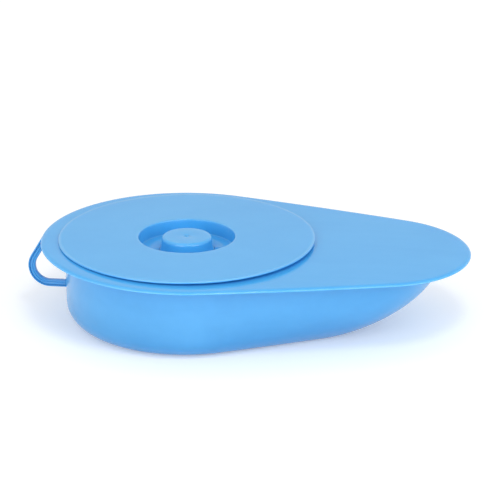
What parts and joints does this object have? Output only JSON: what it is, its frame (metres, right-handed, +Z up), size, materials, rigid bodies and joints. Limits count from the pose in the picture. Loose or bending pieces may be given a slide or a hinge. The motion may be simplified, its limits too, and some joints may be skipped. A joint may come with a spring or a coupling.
{
  "type": "bedpan with lid",
  "caption": "Pear-shaped plastic bedpan: round bowl, sloping closed tongue, flanged seat deck, loop carry handle and a round lift-off lid with a knob in a finger well.",
  "frame": {"origin": "centre of the whole object's box, on the flat floor of the bowl that stands on the bed", "axes": "+Z up; +X along the pan from the handle end to the tongue; +Y to the left when looking along +X"},
  "size_m": [0.4532, 0.2958, 0.086],
  "materials": {
    "pan_plastic": "glossy moulded polypropylene",
    "lid_plastic": "glossy moulded polypropylene"
  },
  "bodies": {
    "pan": {"bowl": "pan_plastic", "seat_deck": "pan_plastic", "carry_handle": "pan_plastic"},
    "lid": {"lid": "lid_plastic", "lid_knob": "lid_plastic"}
  },
  "joints": [
    {"name": "lid_lift", "type": "slide", "parent": "pan", "child": "lid", "axis": [0, 0, 1], "range_m": [0, 0.12]}
  ]
}
